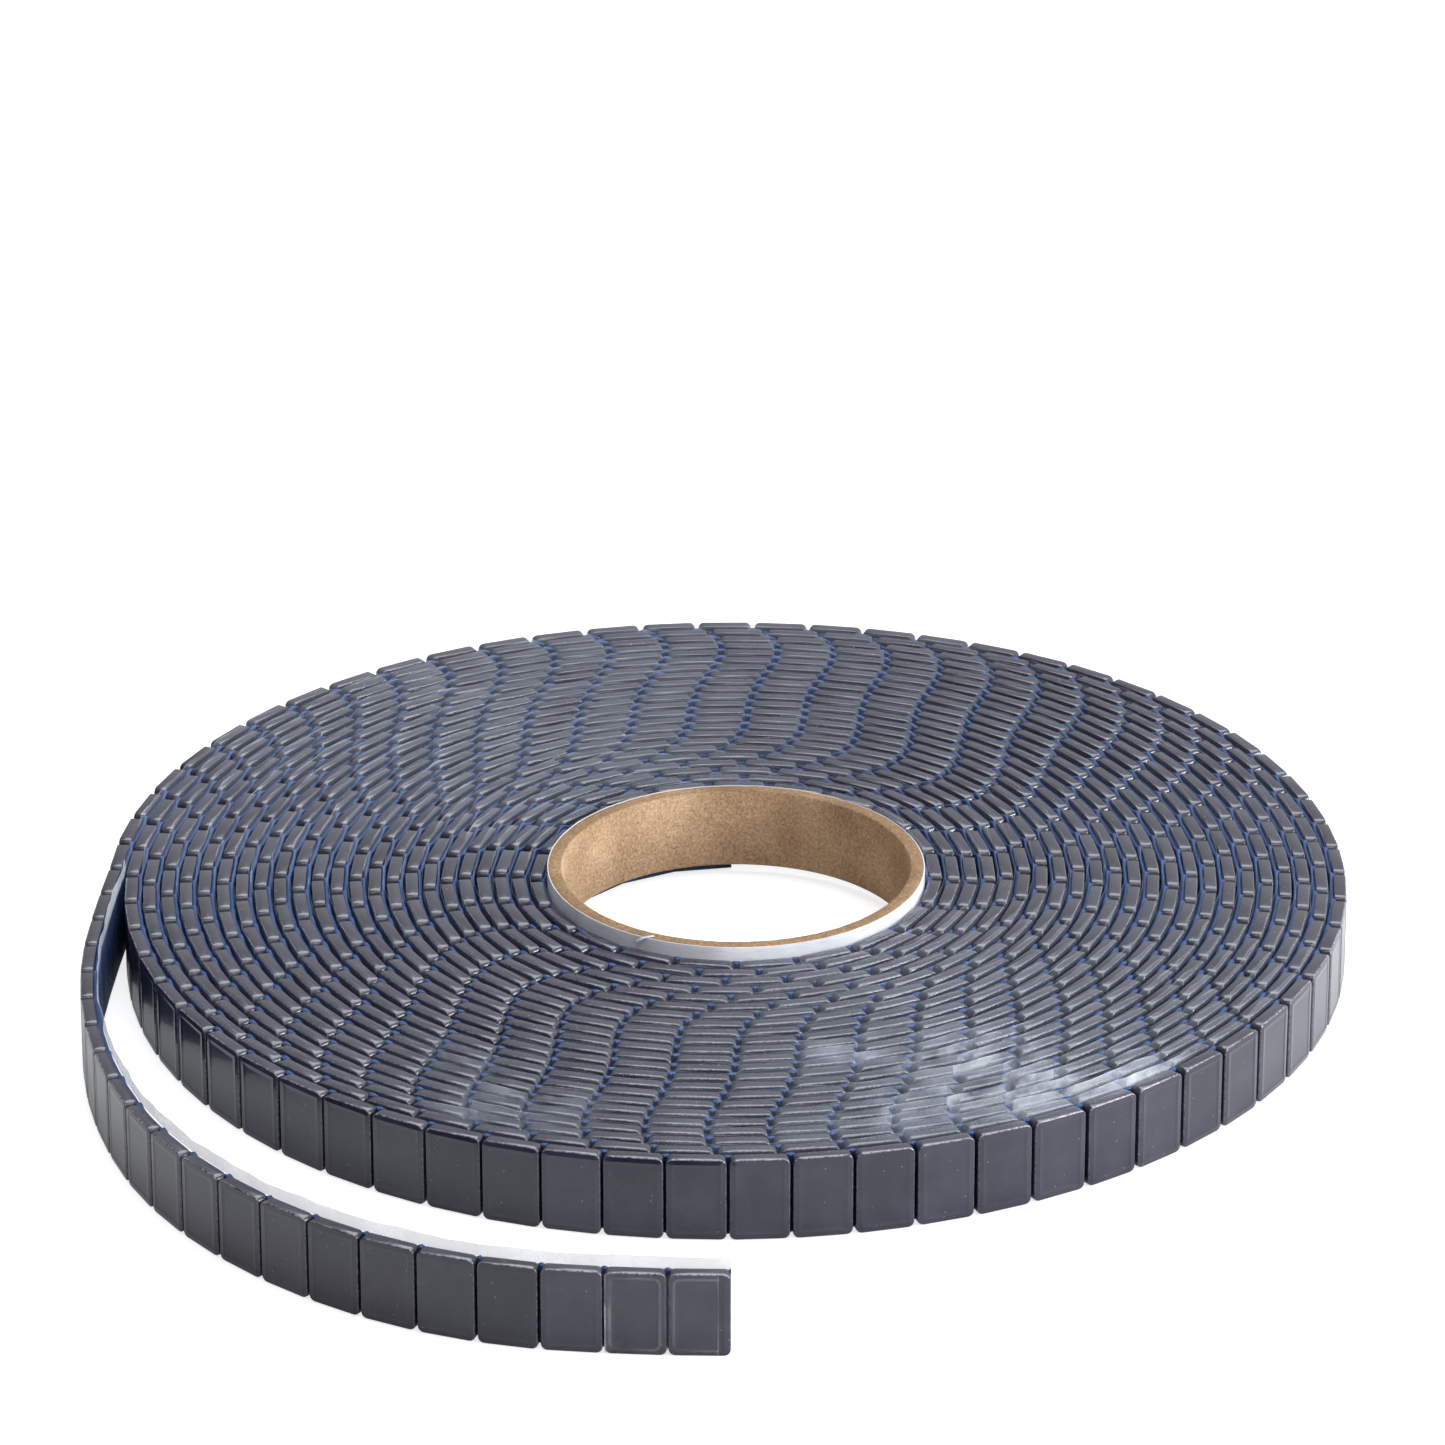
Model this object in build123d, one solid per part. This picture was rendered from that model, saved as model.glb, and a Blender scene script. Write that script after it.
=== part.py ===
"""Coil of adhesive wheel-balancing weights on foam tape, wound on a card core.

Millimetres. The origin is the centre of the core's bore, +Z is up. Pieces are drawn with
the plane the coil rests on at z 0, and save() lowers them to the origin.
Angles are in degrees, anticlockwise from +X seen from above, and count on past 360
from turn to turn. The strip is wound anticlockwise from the core outwards.
"""
import os
from math import asin, atan2, cos, degrees, hypot, pi, radians, sin

from build123d import Align, Axis, Box, BuildPart, BuildSketch, Circle, Compound
from build123d import Location, Mode, Polyline, chamfer, export_step, extrude, make_face

# core
core_bore = 76.2
core_board = 2.95
core_ply = 0.2
core_height = 18.5
core_lift = 2.7

# one weight
weight_length = 12.43
weight_height = 18.5
weight_thickness = 2.8
weight_corner = 1.2

# tape behind the weights
foam_free = 0.95
film = 0.08
film_stand = 2.2
seat = 0.05
film_height = weight_height + film_stand

# winding
wound_gap = 0.5666
core_extra_gap = 0.1159
stretch = ((1, 0.0138, 150.9), (2, 0.0246, -29.8))
turn_air = 0.2316
core_squeeze = 0.23
start_angle = 91.526
wound_turns = 23.2338
climb_angle = 65.0
sway = 0.28
sway_turns = 17.0
lobes = ((1, 0.586, -165.2), (2, 0.631, 60.3), (3, 0.648, 10.2), (4, 0.251, -43.4))
lobe_turns = 6.0
turns_per_part = 2
wound_pitch = weight_length + wound_gap
layer_pitch = weight_thickness + foam_free + film + turn_air
first_radius = core_bore / 2 + core_board + core_ply + foam_free + film - core_squeeze

# free end of the strip
tail_gap = 0.23
tail_bends = ((1, -1.0), (2, 1.05), (3, 3.73), (3, 4.22), (6, 5.83), (4, 6.9), (2, 2.7))
pad_gap = 0.3
closing_start = 0.2
closing_end = 2.5
closing_margin = 0.45
closing_film = 0.1
tail_pitch = weight_length + tail_gap
closing_height = weight_height - 2 * closing_margin


def turns_below(angle):
    """Whole and part turns of strip that lie under the strip at this angle."""
    turn, rest = divmod(angle, 360)
    if turn == 0:
        return 0
    if rest < climb_angle:
        return turn - 1 + (1 - cos(pi * rest / climb_angle)) / 2
    return turn


def base_radius(angle):
    """Radius of the weights' inner faces. The outer turns are a little out of round."""
    below = turns_below(angle)
    eased = sway * (1 - cos(2 * pi * max(below - 0.5, 0) / sway_turns))
    share = min(max((angle - start_angle) / 360 / lobe_turns, 0), 1)
    wobble = sum(height * cos(radians(count * (angle - peak))) for count, height, peak in lobes)
    return first_radius + layer_pitch * below - eased + share * wobble


def corner_reach(angle):
    """Radius of a corner between two flat weights."""
    radius = base_radius(angle)
    return radius + wound_pitch**2 / (8 * radius)


def wound_corners():
    """Corners of the wound strip's bends, on the weights' inner faces, with the angle at each."""
    angle = start_angle
    corners = []
    while not corners or corners[-1][2] < start_angle + 360 * wound_turns:
        reach = corner_reach(angle)
        corners.append((reach * cos(radians(angle)), reach * sin(radians(angle)), angle))
        slack = core_extra_gap * (1 - min(angle / 360 / wound_turns, 1)) ** 2
        pull = sum(share * cos(radians(count * (angle - peak))) for count, share, peak in stretch)
        spacing = (wound_pitch + slack) * (1 + pull)
        middle = angle + degrees(spacing / reach) / 2
        angle += 2 * degrees(asin(spacing / (2 * corner_reach(middle))))
    return corners


def foam_at(angle):
    """Foam behind the weights, squeezed where the core or the turn below leaves less room."""
    radius = base_radius(angle)
    over_start = start_angle + 360 - degrees(wound_pitch / first_radius)
    if angle < over_start:
        room = radius - core_bore / 2 - core_board - core_ply
    else:
        room = corner_reach(angle) - corner_reach(angle - 360) - weight_thickness
        room -= wound_pitch**2 / (8 * radius)
    return min(foam_free, room - film - seat)


def heading(start, end):
    return atan2(end[1] - start[1], end[0] - start[0])


def moved(point, direction, along, out):
    """The point moved along the strip and out from the coil."""
    x = point[0] + along * cos(direction) + out * sin(direction)
    y = point[1] + along * sin(direction) - out * cos(direction)
    return (x, y)


def inner_corner(corners, index, depth):
    """Corner of the strip's inner face, at a depth below the weights' inner faces."""
    before = heading(corners[max(index - 1, 0)], corners[max(index, 1)])
    last = len(corners) - 1
    after = heading(corners[min(index, last - 1)], corners[min(index + 1, last)])
    half_bend = (after - before + pi) % (2 * pi) - pi
    direction = before + half_bend / 2
    return moved(corners[index], direction, 0, -depth / cos(half_bend / 2))


def prism(points, height, bottom=0.0):
    wire = Polyline(*points, close=True)
    return extrude(make_face(wire.edges()), amount=height).moved(Location((0, 0, bottom)))


def strip_outline(corners, first, last):
    """Outline of wound strip: weights with a notch between each two, and tape behind them."""
    outline = []
    for index in range(first, last):
        here, there = corners[index], corners[index + 1]
        direction = heading(here, there)
        length = hypot(there[0] - here[0], there[1] - here[1])
        side = (length - weight_length) / 2
        notch = moved(here, direction, 0, 0)
        outline.append(moved(here, direction, seat, 0) if index == first else notch)
        outline.append(moved(here, direction, side, weight_thickness))
        outline.append(moved(there, direction, -side, weight_thickness))
    outline.append(moved(corners[last], direction, -seat, 0))
    for index in range(last, first - 1, -1):
        depth = foam_at(corners[index][2]) + film
        corner = inner_corner(corners, index, depth)
        if index == last:
            corner = moved(corner, direction, -seat, 0)
        if index == first:
            corner = moved(corner, heading(corners[first], corners[first + 1]), seat, 0)
        outline.append(corner)
    return outline


def ribbon_outline(corners, first, last, near, thickness):
    """Outline of a continuous layer behind the weights, from depth near to near + thickness."""
    front = []
    back = []
    for index in range(first, last + 1):
        foam = foam_at(corners[index][2])
        front.append(inner_corner(corners, index, near(foam)))
        back.append(inner_corner(corners, index, near(foam) + thickness(foam)))
    return front + back[::-1]


def plate(start, end, cut_corners):
    """One weight between two corners of the strip."""
    direction = heading(start, end)
    length = hypot(end[0] - start[0], end[1] - start[1])
    block = Box(weight_length, weight_thickness, weight_height, align=(Align.CENTER, Align.MAX, Align.MIN))
    if cut_corners:
        block = chamfer(block.edges().filter_by(Axis.Y), weight_corner)
    middle = moved(start, direction, length / 2, 0)
    return block.moved(Location((middle[0], middle[1], 0), (0, 0, degrees(direction))))


def slab(start, end, length, depth, thickness, height):
    """A flat piece of tape behind one weight."""
    direction = heading(start, end)
    block = Box(length, thickness, height, align=(Align.CENTER, Align.MIN, Align.MIN))
    span = hypot(end[0] - start[0], end[1] - start[1])
    middle = moved(start, direction, span / 2, -depth)
    return block.moved(Location((middle[0], middle[1], 0), (0, 0, degrees(direction))))


def ring(inner_radius, outer_radius):
    with BuildPart() as part:
        with BuildSketch():
            Circle(outer_radius)
            Circle(inner_radius, mode=Mode.SUBTRACT)
        extrude(amount=core_height)
    return part.part.moved(Location((0, 0, core_lift)))


def save(name, *solids):
    lowered = [solid.moved(Location((0, 0, -core_lift - core_height / 2))) for solid in solids]
    piece = Compound(children=lowered) if len(lowered) > 1 else lowered[0]
    piece.label = name
    export_step(piece, f"parts/{name}.step")


os.makedirs("parts", exist_ok=True)

# core: brown board with a white outer ply
board_radius = core_bore / 2 + core_board
save("core_tube", ring(core_bore / 2, board_radius))
save("core_outer_ply", ring(board_radius, board_radius + core_ply))

# the outermost turn is one turn back from where the free end leaves
corners = wound_corners()
outer_start = next(i for i, corner in enumerate(corners) if corner[2] > corners[-1][2] - 360)

# inner turns: tape and weights of each two turns in one piece
first = 0
part_number = 1
while first < outer_start:
    last = next(i for i, c in enumerate(corners) if c[2] >= corners[first][2] + 360 * turns_per_part)
    if outer_start - last < 20:
        last = outer_start
    save(f"inner_turns_{part_number:02d}", prism(strip_outline(corners, first, last), weight_height))
    first = last
    part_number += 1

# outermost turn: weights, foam and film apart
wound_weights = len(corners) - 1
outer = range(outer_start, wound_weights)
save("outer_turn_weights", *[plate(corners[i], corners[i + 1], False) for i in outer])
foam_ring = ribbon_outline(corners, outer_start, wound_weights, lambda foam: 0, lambda foam: foam)
save("outer_turn_foam", prism(foam_ring, weight_height))
film_ring = ribbon_outline(corners, outer_start, wound_weights, lambda foam: foam, lambda foam: film)
save("outer_turn_film", prism(film_ring, film_height))

# free end: each weight with its own length of tape, so that the strip can bend between them
direction = heading(corners[-2], corners[-1])
tail = [corners[-1][:2]]
for count, bend in tail_bends:
    for _ in range(count):
        direction += radians(bend)
        tail.append(moved(tail[-1], direction, tail_pitch, 0))
links = list(zip(tail, tail[1:]))
pairs = [[link] for link in links[:-2]] + [links[-2:]]
for number, held in enumerate(pairs, 1):
    weights = [plate(start, end, True) for start, end in held]
    tape = []
    for start, end in held:
        tape.append(slab(start, end, tail_pitch - pad_gap, 0, foam_free, weight_height))
        tape.append(slab(start, end, tail_pitch - pad_gap, foam_free, film, film_height))
    save(f"tail_weight_{number:02d}", *weights)
    save(f"tail_tape_{number:02d}", *tape)

# clear film that held the free end down, over the fronts of the last two weights
near, middle, far = tail[-3:]
near_way = heading(near, middle)
far_way = heading(middle, far)
front = weight_thickness
closing = [moved(near, near_way, closing_start, front)]
closing.append(inner_corner(tail, len(tail) - 2, -front))
closing.append(moved(far, far_way, -closing_end, front))
closing.append(moved(far, far_way, -closing_end, front + closing_film))
closing.append(inner_corner(tail, len(tail) - 2, -front - closing_film))
closing.append(moved(near, near_way, closing_start, front + closing_film))
save("closing_tape", prism(closing, closing_height, (weight_height - closing_height) / 2))
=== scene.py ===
from math import asin, atan2, cos, degrees, exp, hypot, pi, radians, sin

import bpy
import numpy as np
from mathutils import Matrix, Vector


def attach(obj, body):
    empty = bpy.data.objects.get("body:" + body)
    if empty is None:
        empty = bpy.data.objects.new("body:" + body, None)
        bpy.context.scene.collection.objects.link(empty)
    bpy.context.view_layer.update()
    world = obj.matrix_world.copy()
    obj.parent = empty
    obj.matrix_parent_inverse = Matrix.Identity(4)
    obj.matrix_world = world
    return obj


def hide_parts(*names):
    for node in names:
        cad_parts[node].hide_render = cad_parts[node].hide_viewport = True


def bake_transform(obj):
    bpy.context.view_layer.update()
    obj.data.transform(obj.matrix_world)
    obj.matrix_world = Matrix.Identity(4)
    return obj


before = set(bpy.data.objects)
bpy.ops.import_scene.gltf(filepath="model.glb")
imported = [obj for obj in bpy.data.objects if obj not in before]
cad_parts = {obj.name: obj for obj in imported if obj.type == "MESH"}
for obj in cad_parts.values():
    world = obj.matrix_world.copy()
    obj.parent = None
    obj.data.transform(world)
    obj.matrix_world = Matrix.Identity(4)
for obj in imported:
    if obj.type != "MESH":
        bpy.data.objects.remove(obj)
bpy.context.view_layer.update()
mm = 0.001

# the strip's path, the same winding as the CAD part, in millimetres and degrees
winding = {
    "pitch": 12.9966, "slack": 0.1159,  # spacing of the weights and what is added to it at the core
    "stretch": ((1, 0.0138, 150.9), (2, 0.0246, -29.8)),  # waves in a turn, share of the pitch, peak
    "layer": 4.0616, "firstRadius": 42.05,  # thickness of a turn, and where the first one lies
    "start": 91.526, "turns": 23.2338,
    "climb": 65.0,  # the part of a turn in which the strip steps up onto the turn below
    "sway": 0.28, "swayTurns": 17.0,  # the turns lie tighter and looser over this many turns
    "lobeTurns": 6.0,  # turns until the lobes have grown in full
    "lobes": ((1, 0.586, -165.2), (2, 0.631, 60.3), (3, 0.648, 10.2), (4, 0.251, -43.4)),  # waves, height, peak
    "tailPitch": 12.66,
    "tailBends": ((1, -1.0), (2, 1.05), (3, 3.73), (3, 4.22), (6, 5.83), (4, 6.9), (2, 2.7)),  # gaps, bend in each
}
plateSize = {"length": 12.43, "height": 18.5, "thick": 2.8, "corner": 1.35}
tapeSize = {"foam": 0.95, "film": 0.08, "seat": 0.05}
coreSize = {"bore": 38.1, "board": 41.05, "ply": 41.25, "low": 2.7, "high": 21.0}  # radii and heights
rest = 11.95  # the ground lies this far below the bore's centre


def turnsBelow(angle):
    turn, left = divmod(angle, 360)
    if turn == 0:
        return 0.0
    if left < winding["climb"]:
        return turn - 1 + (1 - cos(pi * left / winding["climb"])) / 2
    return turn


def baseRadius(angle):
    below = turnsBelow(angle)
    eased = winding["sway"] * (1 - cos(2 * pi * max(below - 0.5, 0) / winding["swayTurns"]))
    share = min(max((angle - winding["start"]) / 360 / winding["lobeTurns"], 0), 1)
    wobble = sum(size * cos(radians(count * (angle - peak))) for count, size, peak in winding["lobes"])
    return winding["firstRadius"] + winding["layer"] * below - eased + share * wobble


def cornerReach(angle):
    radius = baseRadius(angle)
    return radius + winding["pitch"] ** 2 / (8 * radius)


def woundPath():
    angle = winding["start"]
    points, angles = [], []
    while not angles or angles[-1] < winding["start"] + 360 * winding["turns"]:
        reach = cornerReach(angle)
        points.append((reach * cos(radians(angle)), reach * sin(radians(angle))))
        angles.append(angle)
        slack = winding["slack"] * (1 - min(angle / 360 / winding["turns"], 1)) ** 2
        pull = sum(size * cos(radians(count * (angle - peak))) for count, size, peak in winding["stretch"])
        spacing = (winding["pitch"] + slack) * (1 + pull)
        middle = angle + degrees(spacing / reach) / 2
        angle += 2 * degrees(asin(spacing / (2 * cornerReach(middle))))
    return np.array(points), np.array(angles)


def tailPath(points):
    step = points[-1] - points[-2]
    way = atan2(step[1], step[0])
    path = [points[-1]]
    for count, bend in winding["tailBends"]:
        for _ in range(count):
            way += radians(bend)
            path.append(path[-1] + winding["tailPitch"] * np.array((cos(way), sin(way))))
    return np.array(path)


def foamDepth(angle):
    radius = baseRadius(angle)
    if angle < winding["start"] + 360 - degrees(winding["pitch"] / winding["firstRadius"]):
        room = radius - coreSize["ply"]
    else:
        room = cornerReach(angle) - cornerReach(angle - 360) - plateSize["thick"]
        room -= winding["pitch"] ** 2 / (8 * radius)
    return min(tapeSize["foam"], room - tapeSize["film"] - tapeSize["seat"])


wound, woundAngles = woundPath()
woundFoamDepths = np.array([foamDepth(angle) for angle in woundAngles])
tail = tailPath(wound)
outerStart = int(np.argmax(woundAngles > woundAngles[-1] - 360))
print("path:", len(wound) - 1, "wound weights,", len(tail) - 1, "free weights")


def newMesh(name, verts, faces):
    mesh = bpy.data.meshes.new(name)
    mesh.from_pydata([tuple(v) for v in (np.asarray(verts) - (0, 0, rest)) * mm], [], faces)
    mesh.validate()
    mesh.update()
    mesh.shade_smooth()
    obj = bpy.data.objects.new(name, mesh)
    bpy.context.scene.collection.objects.link(obj)
    return obj


def setMark(obj, values, mark="whiteningAndGlare"):
    attribute = obj.data.attributes.new(mark, "FLOAT", "POINT")
    attribute.data.foreach_set("value", np.asarray(values, np.float32))


def smoothByAngle(obj, limit):
    obj.data.set_sharp_from_angle(angle=radians(limit))


def roundedRect(width, height, radius, segments, inset):
    # points of a rounded rectangle, anticlockwise, centred in x and standing on z 0
    r = max(radius - inset, 0.05)  # never quite a sharp corner
    halfWidth, low, high = width / 2 - inset, inset, height - inset
    centres = [(halfWidth - r, low + r, -90), (halfWidth - r, high - r, 0),
               (-halfWidth + r, high - r, 90), (-halfWidth + r, low + r, 180)]
    points = []
    for cx, cz, first in centres:
        for k in range(segments + 1):
            a = radians(first + 90 * k / segments)
            points.append((cx + r * cos(a), cz + r * sin(a)))
    return points


def plateTemplate(segments, layers):
    # rings of (depth out from the tape, inset), closed by a face at each end
    verts, faces = [], []
    count = 4 * (segments + 1)
    for depth, inset in layers:
        ring = roundedRect(plateSize["length"], plateSize["height"], plateSize["corner"], segments, inset)
        verts += [(x, depth, z) for x, z in ring]
    for level in range(len(layers) - 1):
        for k in range(count):
            a, b = level * count + k, level * count + (k + 1) % count
            faces.append((a, b, b + count, a + count))
    faces.append(tuple(range(count - 1, -1, -1)))
    last = (len(layers) - 1) * count
    faces.append(tuple(last + k for k in range(count)))
    return np.array(verts), faces


thick = plateSize["thick"]
# depth and inset of each ring: the rolled edge, then the faint frame raised on the front
edgeLayers = [(0, 0.16), (0.06, 0.05), (0.18, 0), (thick - 0.42, 0), (thick - 0.24, 0.05),
              (thick - 0.12, 0.15), (thick - 0.07, 0.32)]
frameLayers = [(thick - 0.06, 1.02), (thick, 1.17), (thick, 1.29), (thick - 0.06, 1.45), (thick - 0.06, 2.3)]
plainPlate = plateTemplate(3, edgeLayers)
framedPlate = plateTemplate(4, edgeLayers + frameLayers)
plateLay = {
    "lift": 0.12, "slide": 0.05,  # how far a weight strays from its place, in mm
    "lean": 0.5, "leanShare": 0.2, "middle": 9,  # lean in degrees, about this height
    "shrink": 0.993,  # a little short, so that a lifted weight keeps within its height
    "rim": (0.4, 0.1), "topEdge": 0.8,  # band along the front's rim that gets a painted highlight, and its top stretch
    "sideGlint": 0.3, "plainGlint": 0.4,  # share of the painted highlight down the sides, and on the wound weights
}
rng = np.random.default_rng(41)


def platePlace(start, end):
    step = end - start
    way = step / hypot(*step)
    out = np.array((way[1], -way[0]))
    return (start + end) / 2, way, out


def layPlates(name, template, links, wobble=1.0):
    verts, faces = template
    allVerts, allFaces, tones = [], [], []
    for start, end in links:
        middle, way, out = platePlace(start, end)
        lift = rng.uniform(0, plateLay["lift"]) * wobble
        slide = rng.normal(0, plateLay["slide"]) * wobble
        lean = radians(rng.normal(0, plateLay["lean"])) * wobble
        tone = rng.normal(0, 1)
        x = verts[:, 0] + slide
        y = verts[:, 1] * cos(lean) - (verts[:, 2] - plateLay["middle"]) * sin(lean) * plateLay["leanShare"]
        z = np.maximum(verts[:, 2] * plateLay["shrink"] + lift, 0)
        flat = middle + x[:, None] * way + y[:, None] * out
        allFaces += [tuple(i + len(allVerts) * len(verts) for i in f) for f in faces]
        allVerts.append(np.c_[flat, z])
        tones.append(np.full(len(verts), tone))
    obj = newMesh(name, np.concatenate(allVerts), allFaces)
    setMark(obj, np.concatenate(tones), "tone")
    # painted highlight: a band along the front's rim, full along the top edge and weaker down the sides
    back, front = plateLay["rim"]
    rim = (verts[:, 1] > thick - back) & (verts[:, 1] < thick - front)
    paintedGlintBand = rim * np.where(verts[:, 2] > plateSize["height"] - plateLay["topEdge"], 1.0, plateLay["sideGlint"])
    share = 1.0 if template is framedPlate else plateLay["plainGlint"]
    setMark(obj, np.tile(paintedGlintBand * share, len(tones)), "paintedGlintBand")
    smoothByAngle(obj, 40)
    return obj


bendLength = 2.2  # the wound strip turns over this length at each side of a gap


def stripSamples(path, shares):
    # points along the strip's inner face with its direction there, bends eased over a short length
    spots = []
    ways = [platePlace(a, b)[1] for a, b in zip(path, path[1:])]
    for i, (a, b) in enumerate(zip(path, path[1:])):
        length = hypot(*(b - a))
        for share in shares:
            t = share * length
            way = ways[i]
            if t < bendLength and i > 0:
                eased = 0.5 * (1 - t / bendLength)
                way = way * (1 - eased) + ways[i - 1] * eased
            if t > length - bendLength and i < len(ways) - 1:
                eased = 0.5 * (1 - (length - t) / bendLength)
                way = way * (1 - eased) + ways[i + 1] * eased
            way = way / hypot(*way)
            spots.append((a + (b - a) * t / length, way, i + t / length))
    return spots


def ribbon(name, spots, section):
    # one cross-section swept along the strip; section(along) gives its closed loop of (depth inwards, z)
    verts, faces = [], []
    for point, way, along in spots:
        out = np.array((way[1], -way[0]))
        loop = section(along)
        verts += [(*(point - out * depth), z) for depth, z in loop]
    n = len(loop)
    for i in range(len(spots) - 1):
        for k in range(n):
            a, b = i * n + k, i * n + (k + 1) % n
            faces.append((a, a + n, b + n, b))
    faces.append(tuple(range(n)))
    faces.append(tuple((len(spots) - 1) * n + k for k in range(n - 1, -1, -1)))
    obj = newMesh(name, verts, faces)
    smoothByAngle(obj, 50)
    return obj


ripples = ((0.61, 0.5), (1.07, 0.8), (1.9, 1.0), (3.7, 0.9))  # length in weights, and share


def wave(along, seed):
    # smooth wandering value between about -1 and 1; along counts weights
    total = sum(share * sin(2 * pi * along / size + seed * (k + 1.7)) for k, (size, share) in enumerate(ripples))
    return total / sum(share for _, share in ripples) * 1.4


foamShape = {
    "low": 0.3, "top": 17.35, "ragged": 0.12, "round": (0.25, 0.05, 0.15),
    "gap": 0.1, "swell": 0.8, "spread": 1.7,  # the foam rises in the gaps: half width in weights, height, how soon
    "tuck": 1.4, "tuckFrom": 0.7,  # and pushes forward between the weights
}


def foamSection(depthAt):
    def section(along):
        depth, low = depthAt(along), foamShape["low"]
        inGap = max(1 - abs(along - round(along)) / foamShape["gap"], 0)
        top = foamShape["top"] + foamShape["ragged"] * wave(along, seed=2.3)
        top += foamShape["swell"] * min(foamShape["spread"] * inGap, 1)
        front = -foamShape["tuck"] * max(inGap - foamShape["tuckFrom"], 0)
        backRound, crown, frontRound = foamShape["round"]
        return [(front, low), (depth, low), (depth, top - backRound), (depth * 0.75, top),
                (depth * 0.25, top + crown), (front, top - frontRound)]
    return section


filmLook = {
    "top": 20.35, "ragged": 0.3, "sway": 0.55, "lean": -0.15,
    "lip": 0.28, "lipWave": 0.6,  # whiteness of the cut edge, and how much it varies
    "glareByWeight": (0.25, 1.0),  # how strong the painted glare is on the length behind each weight
    "levels": (0.02, 17.2, 17.7, 18.6, 19.3, 20.0),
    "freeFrom": 18.0, "freeHeight": 2.7, "curl": 1.4,
}


def filmSection(depthAt, look):
    # thin film behind the foam; above the weights it stands free and waves
    def section(along):
        depth = depthAt(along)
        top = look["top"] + look["ragged"] * wave(along, seed=0.9)
        sway = look["sway"] * wave(along, seed=4.1) + look["lean"]
        loop = []
        for z in (*look["levels"], top):
            rise = max(z - look["freeFrom"], 0) / look["freeHeight"]
            loop.append((depth + sway * rise ** look["curl"], min(z, top)))
        back = [(d + tapeSize["film"], z) for d, z in reversed(loop)]
        return loop + back
    return section


# where a painted glare whitens the film: angle, radius, half width in degrees and in mm
glarePlaces = ((291, 120, 8, 8), (303, 123, 7, 7), (298, 104, 8, 10), (312, 129, 5, 3),
                 (248, 119, 7, 6), (236, 108, 5, 6), (246, 128, 6, 3), (285, 92, 5, 6))


def markGlare(obj, spots):
    # the film is facetted by the weights, so each length behind a weight gets the painted glare by its own amount
    perSpot = len(obj.data.vertices) // len(spots)
    glareByWeight = rng.uniform(*filmLook["glareByWeight"], len(wound) + 1)
    amounts = []
    for point, _, along in spots:
        angle = degrees(atan2(point[1], point[0])) % 360
        radius = hypot(*point)
        # painted reflection of the back light on the film, as whitish patches
        amount = sum(exp(-((angle - centre) / wide) ** 2 - ((radius - away) / deep) ** 2)
                     for centre, away, wide, deep in glarePlaces)
        amount = min(amount * glareByWeight[int(along)], 1.0)
        lip = min(amount + filmLook["lip"] * (1 + filmLook["lipWave"] * wave(along, seed=3.3)), 1.0)
        amounts += [amount] * (perSpot // 2 - 1) + [lip] * 2 + [amount] * (perSpot // 2 - 1)
    setMark(obj, amounts)


def woundDepth(along):
    index = min(int(along), len(woundFoamDepths) - 2)
    part = along - index
    return woundFoamDepths[index] * (1 - part) + woundFoamDepths[index + 1] * part


def addNode(tree, kind, **values):
    node = tree.nodes.new(kind)
    for key, value in values.items():
        if key in node.inputs:
            node.inputs[key].default_value = value
        else:
            setattr(node, key, value)
    return node


def grainGroup():
    # fine grain, wide cloud and sparse specks over the surface, for every finish
    group = bpy.data.node_groups.new("surfaceGrain", "ShaderNodeTree")
    inputs = (("Grain Scale", 900.0), ("Cloud Scale", 60.0), ("Speck Scale", 500.0), ("Speck Size", 0.08))
    for name, value in inputs:
        group.interface.new_socket(name, in_out="INPUT", socket_type="NodeSocketFloat").default_value = value
    for name in ("Grain", "Cloud", "Speck"):
        group.interface.new_socket(name, in_out="OUTPUT", socket_type="NodeSocketFloat")
    gin, gout = group.nodes.new("NodeGroupInput"), group.nodes.new("NodeGroupOutput")
    coord = addNode(group, "ShaderNodeTexCoord")
    grain = addNode(group, "ShaderNodeTexNoise", Detail=4.0, Roughness=0.6)
    cloud = addNode(group, "ShaderNodeTexNoise", Detail=3.0, Roughness=0.55)
    speck = addNode(group, "ShaderNodeTexVoronoi", feature="F1")
    near = addNode(group, "ShaderNodeMath", operation="LESS_THAN")
    for node, name in ((grain, "Grain Scale"), (cloud, "Cloud Scale"), (speck, "Speck Scale")):
        group.links.new(coord.outputs["Object"], node.inputs["Vector"])
        group.links.new(gin.outputs[name], node.inputs["Scale"])
    group.links.new(speck.outputs["Distance"], near.inputs[0])
    group.links.new(gin.outputs["Speck Size"], near.inputs[1])
    group.links.new(grain.outputs["Fac"], gout.inputs["Grain"])
    group.links.new(cloud.outputs["Fac"], gout.inputs["Cloud"])
    group.links.new(near.outputs[0], gout.inputs["Speck"])
    return group


surfaceGrain = grainGroup()


def addGrain(tree, **values):
    node = tree.nodes.new("ShaderNodeGroup")
    node.node_tree = surfaceGrain
    for name, value in values.items():
        node.inputs[name.replace("_", " ")].default_value = value
    return node


def addRamp(tree, stops):
    ramp = tree.nodes.new("ShaderNodeValToRGB")
    for k, (place, colour) in enumerate(stops):
        element = ramp.color_ramp.elements[k] if k < 2 else ramp.color_ramp.elements.new(place)
        element.position = place
        element.color = (*colour, 1)
    return ramp


def addMix(tree, kind="MIX"):
    node = tree.nodes.new("ShaderNodeMix")
    node.data_type = "RGBA"
    node.blend_type = kind
    return node


def newFinish(name, look):
    # a bare Principled surface with its grain, which each finish then builds on
    material = bpy.data.materials.new(name)
    material.use_nodes = True
    tree = material.node_tree
    tree.nodes.clear()
    out = addNode(tree, "ShaderNodeOutputMaterial")
    shader = addNode(tree, "ShaderNodeBsdfPrincipled")
    grain = addGrain(tree, **look["grain"])
    tree.links.new(shader.outputs["BSDF"], out.inputs["Surface"])
    return material, tree, shader, grain


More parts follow.
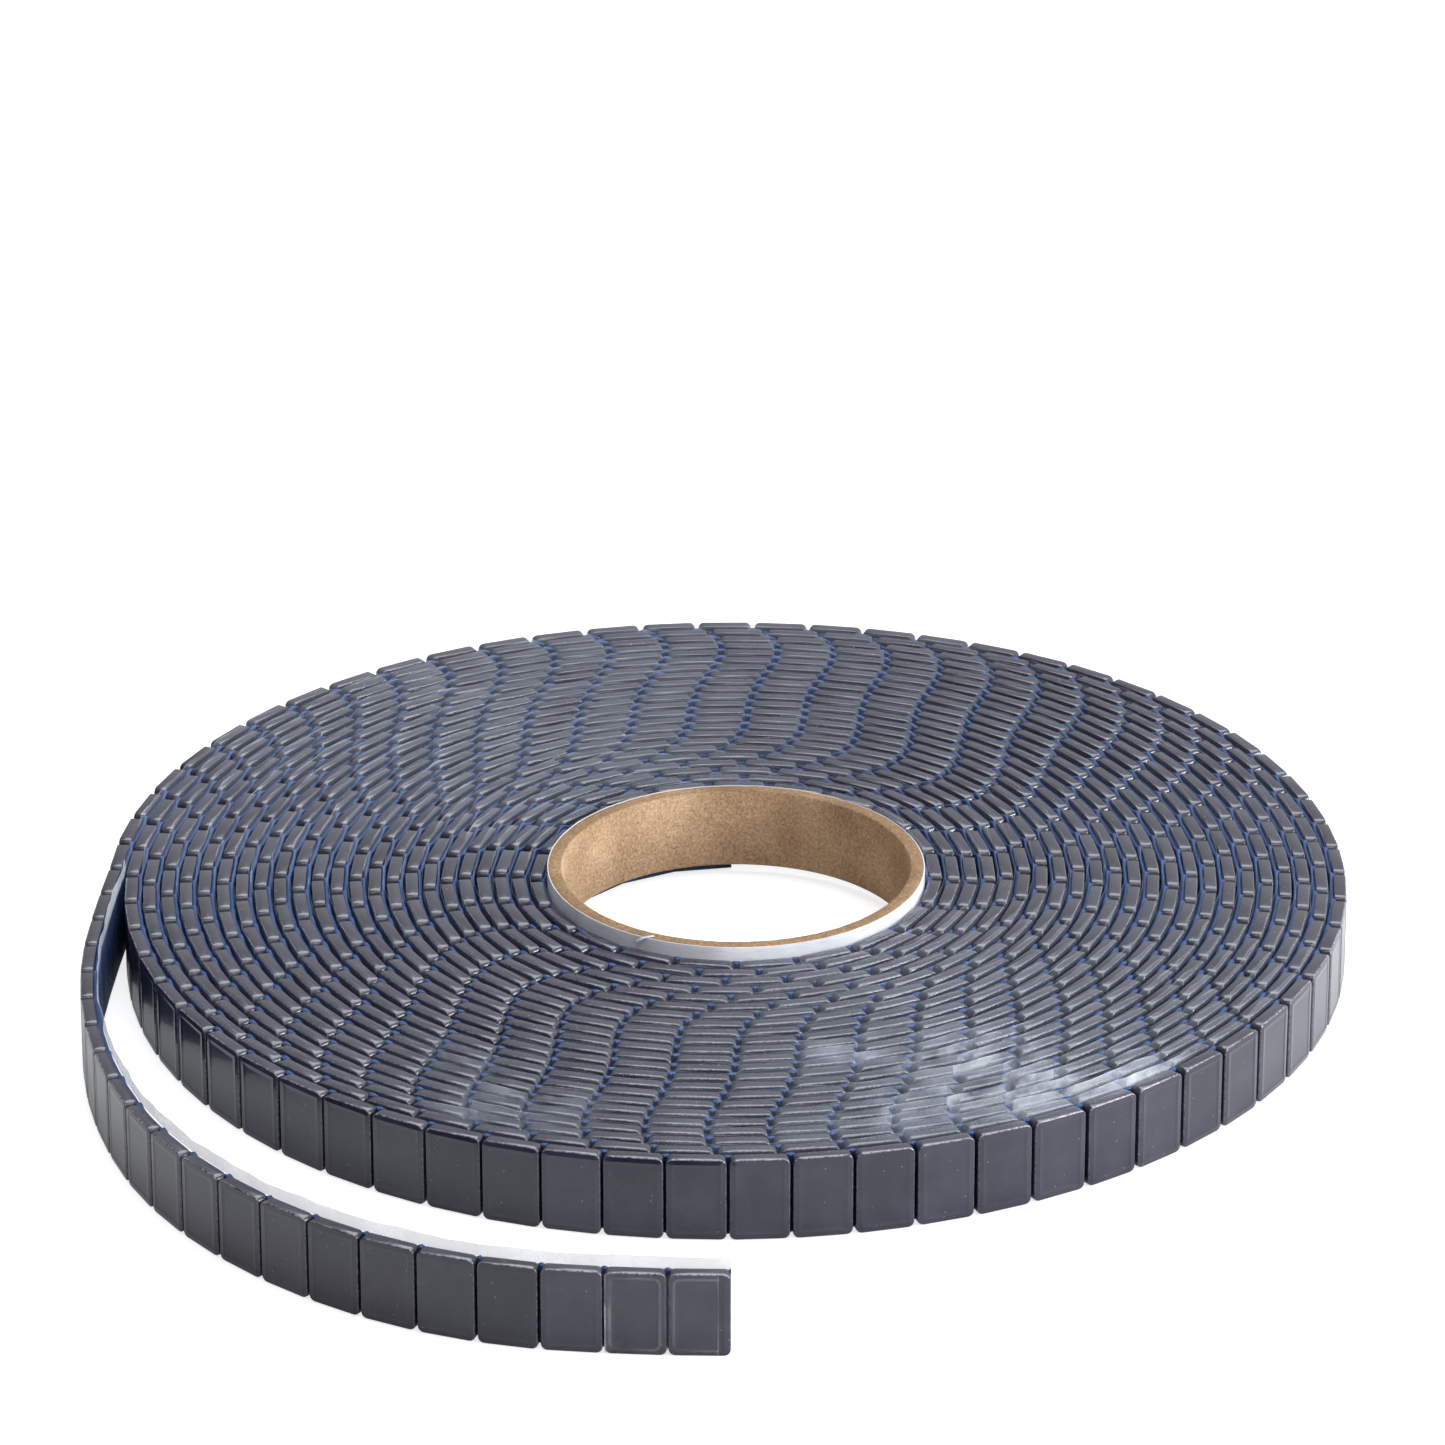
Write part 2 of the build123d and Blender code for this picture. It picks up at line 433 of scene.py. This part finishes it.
def addBump(tree, shader, height, look):
    strength, distance = look["bump"]
    bump = addNode(tree, "ShaderNodeBump", Strength=strength, Distance=distance)
    tree.links.new(height, bump.inputs["Height"])
    tree.links.new(bump.outputs["Normal"], shader.inputs["Normal"])


coatLook = {
    "dark": (0.013, 0.0125, 0.025), "light": (0.031, 0.0305, 0.049), "speck": (0.22, 0.23, 0.26),
    "toneShift": 0.13,  # how much lighter or darker one weight is than the next
    "paintedGlint": (0.27, 0.28, 0.30), "glintBreak": (0.38, 0.66),  # painted highlight on the rims, and the grain that breaks it up
    "rough": (0.13, 0.26), "coat": 0.42, "coatRough": 0.04, "bump": (0.12, 0.0002),
    "grain": {"Grain_Scale": 1400.0, "Cloud_Scale": 120.0, "Speck_Scale": 420.0, "Speck_Size": 0.05},
}


def coatedSteel():
    material, tree, shader, grain = newFinish("coatedSteel", coatLook)
    link = tree.links.new
    shader.inputs["Coat Weight"].default_value = coatLook["coat"]
    shader.inputs["Coat Roughness"].default_value = coatLook["coatRough"]
    tone = addNode(tree, "ShaderNodeAttribute", attribute_name="tone")
    shift = addNode(tree, "ShaderNodeMath", operation="MULTIPLY_ADD")
    shift.inputs[1].default_value = coatLook["toneShift"]
    link(tone.outputs["Fac"], shift.inputs[0])
    link(grain.outputs["Cloud"], shift.inputs[2])
    ramp = addRamp(tree, [(0.25, coatLook["dark"]), (0.75, coatLook["light"])])
    link(shift.outputs[0], ramp.inputs["Fac"])
    mix = addMix(tree)
    link(grain.outputs["Speck"], mix.inputs["Factor"])
    link(ramp.outputs["Color"], mix.inputs["A"])
    mix.inputs["B"].default_value = (*coatLook["speck"], 1)
    # painted highlight: the rims' band is lightened towards a pale grey, broken up by the grain
    paintedGlintBand = addNode(tree, "ShaderNodeAttribute", attribute_name="paintedGlintBand")
    glintBreak = addNode(tree, "ShaderNodeMapRange")
    glintBreak.inputs["From Min"].default_value, glintBreak.inputs["From Max"].default_value = coatLook["glintBreak"]
    link(grain.outputs["Grain"], glintBreak.inputs["Value"])
    paintedGlint = addNode(tree, "ShaderNodeMath", operation="MULTIPLY")
    link(paintedGlintBand.outputs["Fac"], paintedGlint.inputs[0])
    link(glintBreak.outputs["Result"], paintedGlint.inputs[1])
    withGlint = addMix(tree)
    link(paintedGlint.outputs[0], withGlint.inputs["Factor"])
    link(mix.outputs["Result"], withGlint.inputs["A"])
    withGlint.inputs["B"].default_value = (*coatLook["paintedGlint"], 1)
    link(withGlint.outputs["Result"], shader.inputs["Base Color"])
    rough = addNode(tree, "ShaderNodeMapRange")
    rough.inputs["To Min"].default_value, rough.inputs["To Max"].default_value = coatLook["rough"]
    link(grain.outputs["Cloud"], rough.inputs["Value"])
    link(rough.outputs["Result"], shader.inputs["Roughness"])
    addBump(tree, shader, grain.outputs["Grain"], coatLook)
    return material


foamLook = {
    "dark": (0.0075, 0.0275, 0.096), "light": (0.0145, 0.058, 0.2), "rough": 0.55, "bump": (0.6, 0.0003),
    "grain": {"Grain_Scale": 2200.0, "Cloud_Scale": 90.0, "Speck_Scale": 900.0, "Speck_Size": 0.1},
}


def blueFoam():
    material, tree, shader, grain = newFinish("blueFoam", foamLook)
    shader.inputs["Roughness"].default_value = foamLook["rough"]
    ramp = addRamp(tree, [(0.3, foamLook["dark"]), (0.7, foamLook["light"])])
    tree.links.new(grain.outputs["Grain"], ramp.inputs["Fac"])
    tree.links.new(ramp.outputs["Color"], shader.inputs["Base Color"])
    addBump(tree, shader, grain.outputs["Grain"], foamLook)
    return material


# cover of a clear sheet: clear face on, edge at grazing angles, whitish patch where the mesh is marked, broken up
# by a cloud
sheetLook = {
    "bump": (0.4, 0.0004),
    "grain": {"Grain_Scale": 420.0, "Cloud_Scale": 110.0, "Speck_Scale": 260.0, "Speck_Size": 0.04},
}
filmTint = {
    **sheetLook, "colour": (0.64, 0.70, 0.82), "haze": (0.86, 0.875, 0.885),
    "clear": 0.025, "edge": 0.03, "patch": 0.45, "patchBreak": (0.34, 0.60), "rough": 0.12,
}
# the free end's film, made pale where it stands above the foam
paleTailTint = {
    **sheetLook, "colour": (0.30, 0.34, 0.45), "haze": (0.69, 0.70, 0.72),
    "clear": 0.04, "edge": 0.06, "patch": 0.34, "patchBreak": (-0.6, 0.55), "rough": 0.2,
}
tapeTint = {
    **sheetLook, "colour": (0.20, 0.20, 0.23), "haze": (0.50, 0.50, 0.53),
    "clear": 0.03, "edge": 0.06, "patch": 0.5, "patchBreak": (0.30, 0.55), "rough": 0.1,
}


def clearSheet(name, look):
    material, tree, shader, grain = newFinish(name, look)
    link = tree.links.new
    shader.inputs["Roughness"].default_value = look["rough"]
    # the mark holds painted glare on the film and painted highlights on the tape, as well as whitening
    whiteningAndGlare = addNode(tree, "ShaderNodeAttribute", attribute_name="whiteningAndGlare")
    patchBreak = addNode(tree, "ShaderNodeMapRange")
    patchBreak.inputs["From Min"].default_value, patchBreak.inputs["From Max"].default_value = look["patchBreak"]
    link(grain.outputs["Cloud"], patchBreak.inputs["Value"])
    patch = addNode(tree, "ShaderNodeMath", operation="MULTIPLY", use_clamp=True)
    link(whiteningAndGlare.outputs["Fac"], patch.inputs[0])
    link(patchBreak.outputs["Result"], patch.inputs[1])
    tint = addMix(tree)
    link(patch.outputs[0], tint.inputs["Factor"])
    tint.inputs["A"].default_value = (*look["colour"], 1)
    tint.inputs["B"].default_value = (*look["haze"], 1)
    link(tint.outputs["Result"], shader.inputs["Base Color"])
    layer = addNode(tree, "ShaderNodeLayerWeight", Blend=0.3)
    grazing = addNode(tree, "ShaderNodeMath", operation="MULTIPLY_ADD", use_clamp=True)
    link(layer.outputs["Facing"], grazing.inputs[0])
    grazing.inputs[1].default_value = look["edge"]
    grazing.inputs[2].default_value = look["clear"]
    cover = addNode(tree, "ShaderNodeMath", operation="MULTIPLY_ADD", use_clamp=True)
    link(patch.outputs[0], cover.inputs[0])
    cover.inputs[1].default_value = look["patch"]
    link(grazing.outputs[0], cover.inputs[2])
    link(cover.outputs[0], shader.inputs["Alpha"])
    addBump(tree, shader, grain.outputs["Cloud"], look)
    return material


cardLook = {
    "dark": (0.19, 0.115, 0.062), "mid": (0.37, 0.24, 0.142), "light": (0.58, 0.41, 0.255),
    "rim": (0.56, 0.53, 0.49), "fleck": (0.45, 0.38, 0.3), "fleckShare": 0.35,
    "fine": 0.65, "wide": 0.35,  # shares of the fine grain and the wide cloud
    "rough": 0.9, "gloss": 0.15, "bump": (0.5, 0.0005),
    "grain": {"Grain_Scale": 1700.0, "Cloud_Scale": 70.0, "Speck_Scale": 520.0, "Speck_Size": 0.15},
}


def coreCard():
    material, tree, shader, grain = newFinish("coreCard", cardLook)
    link = tree.links.new
    shader.inputs["Roughness"].default_value = cardLook["rough"]
    shader.inputs["Specular IOR Level"].default_value = cardLook["gloss"]
    fibre = addNode(tree, "ShaderNodeMath", operation="MULTIPLY_ADD")
    link(grain.outputs["Grain"], fibre.inputs[0])
    fibre.inputs[1].default_value = cardLook["fine"]
    cloud = addNode(tree, "ShaderNodeMath", operation="MULTIPLY")
    link(grain.outputs["Cloud"], cloud.inputs[0])
    cloud.inputs[1].default_value = cardLook["wide"]
    link(cloud.outputs[0], fibre.inputs[2])
    ramp = addRamp(tree, [(0.3, cardLook["dark"]), (0.68, cardLook["light"]), (0.48, cardLook["mid"])])
    link(fibre.outputs[0], ramp.inputs["Fac"])
    mix = addMix(tree, "MULTIPLY")
    fade = addNode(tree, "ShaderNodeMath", operation="MULTIPLY")
    link(grain.outputs["Speck"], fade.inputs[0])
    fade.inputs[1].default_value = cardLook["fleckShare"]
    link(fade.outputs[0], mix.inputs["Factor"])
    link(ramp.outputs["Color"], mix.inputs["A"])
    mix.inputs["B"].default_value = (*cardLook["fleck"], 1)
    rim = addNode(tree, "ShaderNodeAttribute", attribute_name="rim")
    cut = addMix(tree, "MULTIPLY")
    link(rim.outputs["Fac"], cut.inputs["Factor"])
    link(mix.outputs["Result"], cut.inputs["A"])
    cut.inputs["B"].default_value = (*cardLook["rim"], 1)
    link(cut.outputs["Result"], shader.inputs["Base Color"])
    addBump(tree, shader, grain.outputs["Grain"], cardLook)
    return material


plyLook = {
    "dark": (0.47, 0.465, 0.50), "light": (0.68, 0.675, 0.70), "bump": (0.2, 0.0002),
    "grain": {"Grain_Scale": 700.0, "Cloud_Scale": 80.0, "Speck_Scale": 300.0, "Speck_Size": 0.05},
}


def whitePly():
    material, tree, shader, grain = newFinish("whitePly", plyLook)
    ramp = addRamp(tree, [(0.3, plyLook["dark"]), (0.7, plyLook["light"])])
    tree.links.new(grain.outputs["Cloud"], ramp.inputs["Fac"])
    tree.links.new(ramp.outputs["Color"], shader.inputs["Base Color"])
    addBump(tree, shader, grain.outputs["Grain"], plyLook)
    return material


finishes = {
    "steel": coatedSteel(), "foam": blueFoam(), "film": clearSheet("clearFilm", filmTint),
    "paleTail": clearSheet("clearPaleTail", paleTailTint), "tape": clearSheet("clearTape", tapeTint),
    "card": coreCard(), "ply": whitePly(),
}
print("finishes:", ", ".join(finishes))


def settle(obj, finish, body, slot, *nodes):
    obj.data.materials.append(finishes[finish])
    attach(obj, body)
    if nodes:
        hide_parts(*nodes)


# wound coil
innerNodes = [f"inner_turns_{k:02d}" for k in range(1, 12)]
links = list(zip(wound, wound[1:]))
innerWeights = layPlates("innerWeights", plainPlate, links[:outerStart])
settle(innerWeights, "steel", "coil", "coated_steel", *innerNodes)
outerWeights = layPlates("outerWeights", framedPlate, links[outerStart:])
settle(outerWeights, "steel", "coil", "coated_steel", "outer_turn_weights")
woundSpots = stripSamples(wound, (0.0, 0.02, 0.045, 0.2, 0.5, 0.8, 0.955, 0.98))  # closer together at the gaps
settle(ribbon("woundFoam", woundSpots, foamSection(woundDepth)), "foam", "coil", "blue_foam", "outer_turn_foam")
woundFilm = ribbon("woundFilm", woundSpots, filmSection(woundDepth, filmLook))
markGlare(woundFilm, woundSpots)
settle(woundFilm, "film", "coil", "clear_film", "outer_turn_film")
print("coil wound")

# free end: a weight rides on each link, the tape bends between them
freeEnd = {
    "wobble": 0.4,  # the free weights stray less than the wound ones
    "ease": 0.16, "perLink": 12,  # share of a link over which the tape bends, and spots in a link
    "bend": 2.5, "below": -3,  # reach of the blend each way from the gap, and its height, in mm
    "settled": 2, "cut": 0.012,  # links until the foam has its free thickness, and what is cut off the end
    "paleFrom": 17.2, "paleRise": 0.4,  # the film is pale only where it stands clear of the foam
}
tailCount = len(tail) - 1
tailBodies = [f"tail_{min(k + 1, tailCount - 1):02d}" for k in range(tailCount)]
tailLinks = list(zip(tail, tail[1:]))
for k in range(tailCount - 2):
    name = f"{k + 1:02d}"
    weight = layPlates("freeWeight" + name, framedPlate, [tailLinks[k]], freeEnd["wobble"])
    settle(weight, "steel", tailBodies[k], "coated_steel", "tail_weight_" + name)
lastWeights = layPlates("freeWeight20", framedPlate, tailLinks[-2:], freeEnd["wobble"])
settle(lastWeights, "steel", tailBodies[-1], "coated_steel", "tail_weight_20")

tailStrip = np.concatenate([wound[-2:-1], tail])


def trimSpots(path, first, last, perLink=freeEnd["perLink"]):
    # spots exactly from first to last, counted in links
    count = max(int(round((last - first) * perLink)), 2)
    ways = [platePlace(a, b)[1] for a, b in zip(path, path[1:])]
    spots = []
    for k in range(count + 1):
        along = first + (last - first) * k / count
        i = min(int(along), len(ways) - 1)
        t = along - i
        way = ways[i]
        ease = freeEnd["ease"]
        if t < ease and i > 0:
            way = way * (0.5 + 0.5 * t / ease) + ways[i - 1] * (0.5 - 0.5 * t / ease)
        if t > 1 - ease and i < len(ways) - 1:
            way = way * (0.5 + 0.5 * (1 - t) / ease) + ways[i + 1] * (0.5 - 0.5 * (1 - t) / ease)
        way = way / hypot(*way)
        spots.append((path[i] + (path[i + 1] - path[i]) * t, way, along))
    return spots


def tailDepth(along):
    share = min(max(along / freeEnd["settled"], 0), 1)
    squeezed = woundFoamDepths[-1]
    return squeezed + (tapeSize["foam"] - squeezed) * share


tailFilmLook = {**filmLook, "top": 20.45, "ragged": 0.15, "sway": 0.35, "lean": -0.1}
freeStrips = (("Foam", foamSection(tailDepth), "foam", "blue_foam"),
              ("Film", filmSection(tailDepth, tailFilmLook), "paleTail", "clear_film"))


def shareAbove(obj, low, rise):
    # 0 below the height low, 1 from rise above it
    spots = np.empty(len(obj.data.vertices) * 3, np.float32)
    obj.data.vertices.foreach_get("co", spots)
    return np.clip((spots[2::3] / mm + rest - low) / rise, 0, 1)


def freeStrip(name, spots, section):
    piece = ribbon(name, spots, section)
    setMark(piece, shareAbove(piece, freeEnd["paleFrom"], freeEnd["paleRise"]))
    return piece


for gap in range(tailCount - 1):
    first = 1.0 if gap == 0 else gap + 0.5
    spots = trimSpots(tailStrip, first, gap + 1.5)
    for kind, section, finish, slot in freeStrips:
        piece = freeStrip(f"free{kind}{gap + 1:02d}", spots, section)
        piece.data.materials.append(finishes[finish])
        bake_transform(piece)
        if kind == "Foam":
            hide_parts(f"tail_tape_{gap + 1:02d}")
lastSpots = trimSpots(tailStrip, tailCount - 0.5, tailCount + 1 - freeEnd["cut"])
for kind, section, finish, slot in freeStrips:
    settle(freeStrip(f"free{kind}End", lastSpots, section), finish, tailBodies[-1], slot)
print("free end laid")

# card core and its white outer ply
coreEdge = {
    "steps": 360, "round": 0.35,
    "slope": ((0.9, 0.02), (0.3, 0.05), (0, 0.15)),  # worn outer rim: in from the outside, down from the top
    "cut": 0.3, "cutRise": 0.2,  # depth of the darker cut edge at the top
    "waver": (0.06, 0.04), "waverFrom": 20.5,  # uneven cut, only above this height
}
plyEdge = {"inner": 41.06, "outer": 41.25, "low": 2.8, "high": 20.98, "bevel": (0.05, 0.08)}


def lathe(name, profile, steps):
    verts, faces = [], []
    n = len(profile)
    for k in range(steps):
        a = 2 * pi * k / steps
        verts += [(r * cos(a), r * sin(a), z + rimWaver(a, z)) for r, z in profile]
    for k in range(steps):
        for j in range(n):
            a, b = k * n + j, k * n + (j + 1) % n
            c, d = ((k + 1) % steps) * n + j, ((k + 1) % steps) * n + (j + 1) % n
            faces.append((a, b, d, c))
    obj = newMesh(name, verts, faces)
    smoothByAngle(obj, 50)
    return obj


def boardProfile():
    low, high, inner, outer = coreSize["low"], coreSize["high"], coreSize["bore"], coreSize["board"]
    r = coreEdge["round"]
    points = [(inner, low + r), (inner, high - r)]
    points += [(inner + r * (1 - cos(radians(a))), high - r + r * sin(radians(a))) for a in (30, 60, 90)]
    points += [(outer - across, high - down) for across, down in coreEdge["slope"]]
    points += [(outer, low + 0.1), (outer - 0.2, low), (inner + r, low)]
    return points[::-1]


def plyProfile():
    inner, outer, low, high = plyEdge["inner"], plyEdge["outer"], plyEdge["low"], plyEdge["high"]
    across, down = plyEdge["bevel"]
    return [(inner, low), (outer, low), (outer, high - down), (outer - across, high), (inner, high)]


def rimWaver(a, z):
    coarse, fine = coreEdge["waver"]
    shift = coarse * sin(23 * a + 1.3) * sin(5 * a) + fine * sin(61 * a)
    return -abs(shift) if z > coreEdge["waverFrom"] else 0


coreBoard = lathe("coreBoard", boardProfile(), coreEdge["steps"])
setMark(coreBoard, shareAbove(coreBoard, coreSize["high"] - coreEdge["cut"], coreEdge["cutRise"]), "rim")
settle(coreBoard, "card", "coil", "board", "core_tube")
coreWrap = lathe("coreWrap", plyProfile(), coreEdge["steps"])
settle(coreWrap, "ply", "coil", "white_paper", "core_outer_ply")

sliver = {
    "spine": ((42.1, 239.4, 19.7), (42.0, 240.4, 20.4), (41.6, 241.4, 20.95),  # radius, angle, height
              (40.8, 242.6, 21.04), (39.9, 243.8, 21.04)),
    "half": 0.34, "taper": 0.03, "thick": 0.12,
}


def paperFray():
    # a torn sliver of the white paper curls over the core's rim at the front
    spine, thickness = sliver["spine"], sliver["thick"]
    verts, faces = [], []
    for k, (radius, angle, z) in enumerate(spine):
        x, y = radius * cos(radians(angle)), radius * sin(radians(angle))
        half = sliver["half"] - sliver["taper"] * k
        verts += [(x - half, y + half, z), (x + half, y - half, z),
                  (x + half, y - half, z + thickness), (x - half, y + half, z + thickness)]
    for k in range(len(spine) - 1):
        for j in range(4):
            a, b = 4 * k + j, 4 * k + (j + 1) % 4
            faces.append((a, b, b + 4, a + 4))
    faces += [(3, 2, 1, 0), tuple(len(verts) - 4 + j for j in range(4))]
    return newMesh("paperFray", verts, faces)


settle(paperFray(), "ply", "coil", "white_paper")

# clear closing tape over the last two weights
closing = {
    "start": 0.2, "end": 2.5, "height": 17.6, "inset": 1.25, "corner": 1.3,
    "lift": 0.03, "thick": 0.06, "rows": 70, "perLink": 60, "ragged": 0.08,
    "frame": 0.4, "frameWidth": 0.22,  # whiteness over each weight's raised frame
    "base": 0.04, "startCut": (0.6, 0.35), "startBand": (0.2, 1.3), "endCut": (0.35, 0.3),  # whiteness, width
    "gapGlint": 0.25, "gapGlintHeight": 1.7, "gapGlintRise": 0.3,  # painted highlight low down where the tape spans the gap
}


def pressedFrame(across, z):
    # the raised frame of each weight whitens the tape where it presses on it
    x = abs(across - plateSize["length"] / 2) - plateSize["length"] / 2 + closing["inset"] + closing["corner"]
    y = abs(z - plateSize["height"] / 2) - plateSize["height"] / 2 + closing["inset"] + closing["corner"]
    away = hypot(max(x, 0), max(y, 0)) + min(max(x, y), 0) - closing["corner"]
    return exp(-(away / closing["frameWidth"]) ** 2)


def closingTape():
    first = tailCount - 2 + closing["start"] / winding["tailPitch"]
    last = tailCount - closing["end"] / winding["tailPitch"]
    spots = trimSpots(tail, first, last, closing["perLink"])
    low = (plateSize["height"] - closing["height"]) / 2
    high = (plateSize["height"] + closing["height"]) / 2
    out = -(thick + closing["lift"])
    heights = np.linspace(low, high, closing["rows"])

    def section(along):
        ragged = closing["ragged"] * wave(along * 5, seed=1.7)
        rows = [low + ragged, *heights[1:-1], high + ragged]
        return [(out - closing["thick"], z) for z in rows] + [(out, z) for z in reversed(rows)]

    piece = ribbon("closingTape", spots, section)
    amounts = []
    for _, _, along in spots:
        fromStart = (along - first) * winding["tailPitch"]
        fromEnd = (last - along) * winding["tailPitch"]
        across = (along % 1) * winding["tailPitch"]
        edge = closing["base"]
        for end, away in (("startCut", fromStart), ("startBand", fromStart), ("endCut", fromEnd)):
            white, width = closing[end]
            edge += white * (away < width)
        # painted highlight on the tape low down at each gap
        gapGlint = exp(-(min(across, winding["tailPitch"] - across) / closing["gapGlint"]) ** 2)
        column = [edge + closing["frame"] * pressedFrame(across, z)
                  + gapGlint * exp(-((z - closing["gapGlintHeight"]) / closing["gapGlintRise"]) ** 2) for z in heights]
        amounts += column + column[::-1]
    setMark(piece, np.clip(amounts, 0, 1))
    return piece


settle(closingTape(), "tape", tailBodies[-1], "clear_film", "closing_tape")
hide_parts("tail_tape_20")
print("core and closing tape made")

# floor, light and camera
studio = {
    "floorSize": 6.0, "floorColour": (0.5, 0.5, 0.5), "floorRough": 0.8, "floorDrop": 0.00015,
    "floorGlow": (0.13, 0.75),  # faint light on the object, pale as it is seen itself
    "sky": 0.49, "right": 0.6, "up": 0.3,  # brightness of the room, and how it grows to the right and upwards
    "lampColour": (0.91, 0.955, 1.0),
}
lamps = {  # place, size across and down, power
    "softTop": ((0.22, 0.5, 1.4), (1.3, 1.3), 23.5),
    "softRight": ((1.3, -0.5, 0.5), (0.7, 0.7), 25),
    "stripFront": ((0.1, -0.6, 1.1), (1.0, 0.05), 2.6),
}
viewpoint = {
    "place": (0, -1.5781, 0.76155), "tilt": 65.523, "turn": 0.107,
    "lens": 199.3, "sensor": 36, "clip": 20,
}


def stageFloor():
    half = studio["floorSize"] / 2
    mesh = bpy.data.meshes.new("floor")
    mesh.from_pydata([(-half, -half, 0), (half, -half, 0), (half, half, 0), (-half, half, 0)], [], [(0, 1, 2, 3)])
    floor = bpy.data.objects.new("floor", mesh)
    bpy.context.scene.collection.objects.link(floor)
    floor.location.z = -rest * mm - studio["floorDrop"]
    material = bpy.data.materials.new("paleFloor")
    material.use_nodes = True
    tree = material.node_tree
    tree.nodes.clear()
    out = addNode(tree, "ShaderNodeOutputMaterial")
    shader = addNode(tree, "ShaderNodeBsdfPrincipled", Roughness=studio["floorRough"])
    shader.inputs["Base Color"].default_value = (*studio["floorColour"], 1)
    rays = addNode(tree, "ShaderNodeLightPath")
    glow = addNode(tree, "ShaderNodeMapRange")
    glow.inputs["To Min"].default_value, glow.inputs["To Max"].default_value = studio["floorGlow"]
    tree.links.new(rays.outputs["Is Camera Ray"], glow.inputs["Value"])
    shader.inputs["Emission Color"].default_value = (1, 1, 1, 1)
    tree.links.new(glow.outputs["Result"], shader.inputs["Emission Strength"])
    tree.links.new(shader.outputs["BSDF"], out.inputs["Surface"])
    mesh.materials.append(material)


def areaLight(name, place, size, power):
    # always aimed at the middle of the coil
    data = bpy.data.lights.new(name, "AREA")
    data.shape = "RECTANGLE"
    data.size, data.size_y = size
    data.energy = power
    data.color = studio["lampColour"]
    lamp = bpy.data.objects.new(name, data)
    lamp.location = place
    lamp.rotation_euler = (-Vector(place)).to_track_quat("-Z", "Y").to_euler()
    bpy.context.scene.collection.objects.link(lamp)


def studioSky():
    # soft white room, darker low down and on the left
    world = bpy.data.worlds.new("studioWorld")
    world.use_nodes = True
    tree = world.node_tree
    coord = addNode(tree, "ShaderNodeTexCoord")
    split = addNode(tree, "ShaderNodeSeparateXYZ")
    tree.links.new(coord.outputs["Generated"], split.inputs["Vector"])
    right = addNode(tree, "ShaderNodeMath", operation="MULTIPLY_ADD")
    right.inputs[1].default_value = studio["right"]
    right.inputs[2].default_value = studio["sky"]
    tree.links.new(split.outputs["X"], right.inputs[0])
    up = addNode(tree, "ShaderNodeMath", operation="MULTIPLY_ADD")
    up.inputs[1].default_value = studio["up"]
    tree.links.new(split.outputs["Z"], up.inputs[0])
    tree.links.new(right.outputs[0], up.inputs[2])
    background = tree.nodes["Background"]
    background.inputs["Color"].default_value = (1, 1, 1, 1)
    tree.links.new(up.outputs[0], background.inputs["Strength"])
    bpy.context.scene.world = world


stageFloor()
studioSky()
for name, (place, size, power) in lamps.items():
    areaLight(name, place, size, power)

cameraData = bpy.data.cameras.new("camera")
cameraData.lens = viewpoint["lens"]
cameraData.sensor_width = viewpoint["sensor"]
cameraData.clip_end = viewpoint["clip"]
camera = bpy.data.objects.new("camera", cameraData)
camera.location = viewpoint["place"]
camera.rotation_euler = (radians(viewpoint["tilt"]), 0, radians(viewpoint["turn"]))
bpy.context.scene.collection.objects.link(camera)
bpy.context.scene.camera = camera
bpy.context.scene.view_settings.view_transform = "Standard"
print("studio lit, camera set")
